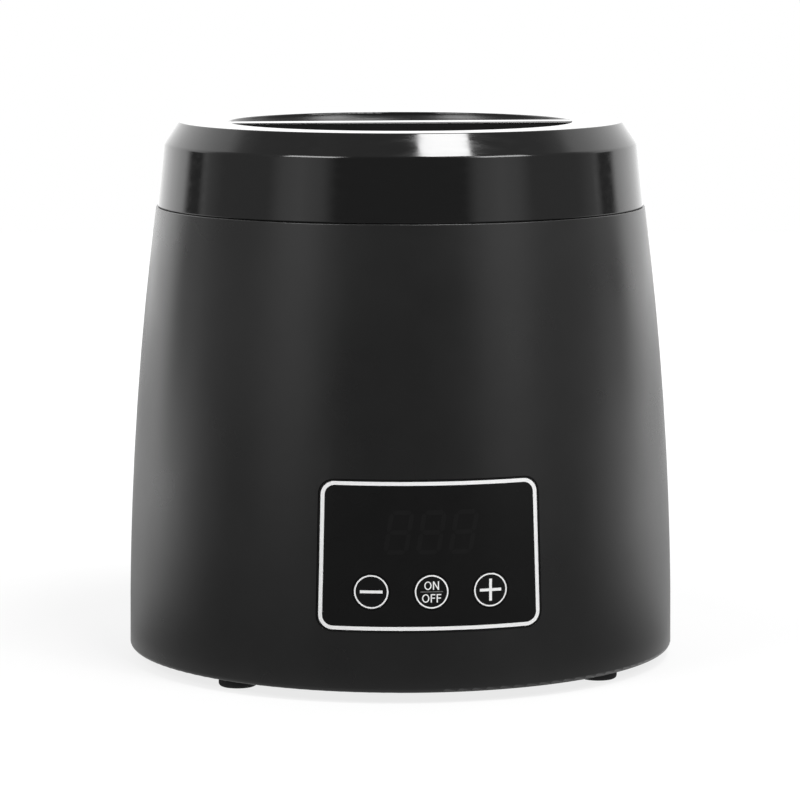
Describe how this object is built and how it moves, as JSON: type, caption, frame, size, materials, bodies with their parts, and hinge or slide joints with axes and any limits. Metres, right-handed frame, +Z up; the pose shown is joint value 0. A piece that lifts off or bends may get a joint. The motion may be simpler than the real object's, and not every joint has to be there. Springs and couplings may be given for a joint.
{
  "type": "dental lab wax heater",
  "caption": "Round electric wax heater with a lift-off lid, a lift-out pot with a bail, a flared casing, and a control panel with round push keys.",
  "frame": {"origin": "middle of the footprint, on the surface that the feet rest on", "axes": "+Z up, the control panel faces -Y, the mains inlet faces +Y"},
  "size_m": [0.16, 0.16, 0.1571],
  "materials": {
    "casing": "fine-textured matte black moulding",
    "lid_gloss": "polished black moulding",
    "panel_gloss": "glossy black overlay",
    "key_gloss": "glossy black key cap",
    "base_black": "plain matte black moulding",
    "rubber_black": "soft black rubber",
    "collar_black": "heat-resistant black moulding",
    "aluminium": "spun aluminium, satin",
    "cast_aluminium": "cast, as machined",
    "steel": "zinc-plated steel",
    "stainless": "bright stainless wire",
    "element_steel": "heat-darkened stainless sheath",
    "shield_steel": "bright aluminised sheet",
    "glass_fibre": "needled glass-fibre felt",
    "ceramic_white": "white steatite",
    "board_green": "green solder mask",
    "terminal_green": "green moulding",
    "core_steel": "varnished core plates",
    "coil_tape": "yellow winding tape",
    "relay_blue": "blue relay case",
    "capacitor_yellow": "yellow film capacitor case",
    "capacitor_black": "black sleeve",
    "fuse_glass": "clear glass with metal caps",
    "chip_black": "moulded package",
    "display_grey": "dark display face",
    "switch_black": "switch moulding",
    "header_white": "ivory connector",
    "ribbon_grey": "grey ribbon",
    "inlet_black": "hard black moulding",
    "pin_brass": "nickel-plated brass",
    "lead_brown": "brown lead",
    "lead_blue": "blue lead",
    "lead_white": "white heat-resistant sleeve"
  },
  "bodies": {
    "housing": {"body_shell": "casing", "base_plate": "base_black", "rubber_feet": "rubber_black", "base_screws": "steel", "control_panel": "panel_gloss", "pot_collar": "collar_black", "collar_screws": "steel", "heating_well": "aluminium", "heater_plate": "cast_aluminium", "heating_element": "element_steel", "stud_spacer": "steel", "clamp_washer": "steel", "clamp_nut": "steel", "heat_shield": "shield_steel", "lead_bushes": "ceramic_white", "insulation_sleeve": "glass_fibre", "temperature_sensor": "stainless", "thermal_fuse": "stainless", "sensor_straps": "steel", "strap_screws": "steel", "main_board": "board_green", "board_screws": "steel", "terminal_blocks": "terminal_green", "transformer_core": "core_steel", "transformer_coil": "coil_tape", "relay": "relay_blue", "film_capacitor": "capacitor_yellow", "smoothing_capacitor": "capacitor_black", "glass_fuse": "fuse_glass", "fuse_clips": "steel", "display_board": "board_green", "display_board_screws": "steel", "led_display": "display_grey", "key_switches": "switch_black", "control_chip": "chip_black", "ribbon_headers": "header_white", "ribbon_cable": "ribbon_grey", "inlet_housing": "inlet_black", "inlet_pins": "pin_brass", "live_lead": "lead_brown", "neutral_lead": "lead_blue", "heater_leads": "lead_white", "sensor_lead": "lead_white", "thermal_fuse_lead": "lead_white"},
    "wax_pot": {"wax_pot": "aluminium", "bail_ears": "stainless"},
    "bail": {"bail": "stainless"},
    "lid": {"lid": "lid_gloss"},
    "key_minus": {"key_minus": "key_gloss", "plunger_minus": "switch_black"},
    "key_on_off": {"key_on_off": "key_gloss", "plunger_on_off": "switch_black"},
    "key_plus": {"key_plus": "key_gloss", "plunger_plus": "switch_black"}
  },
  "joints": [
    {"name": "pot_lift", "type": "slide", "parent": "housing", "child": "wax_pot", "axis": [0, 0, 1], "range_m": [0, 0.1]},
    {"name": "lid_lift", "type": "slide", "parent": "wax_pot", "child": "lid", "axis": [0, 0, 1], "range_m": [0, 0.22]},
    {"name": "bail_swing", "type": "hinge", "parent": "wax_pot", "child": "bail", "pos_m": [0, 0, 0.1402], "axis": [1, 0, 0], "range_deg": [0, 182.7]},
    {"name": "minus_press", "type": "slide", "parent": "housing", "child": "key_minus", "axis": [0, 1, 0], "range_m": [0, 0.0005], "stiffness_N_per_m": 1000, "springref_m": -0.0006},
    {"name": "on_off_press", "type": "slide", "parent": "housing", "child": "key_on_off", "axis": [0, 1, 0], "range_m": [0, 0.0005], "stiffness_N_per_m": 1000, "springref_m": -0.0006},
    {"name": "plus_press", "type": "slide", "parent": "housing", "child": "key_plus", "axis": [0, 1, 0], "range_m": [0, 0.0005], "stiffness_N_per_m": 1000, "springref_m": -0.0006}
  ],
  "couplings": [
    {"joint": "bail_swing", "follows": "lid_lift", "rad_per_m": 14.493}
  ]
}
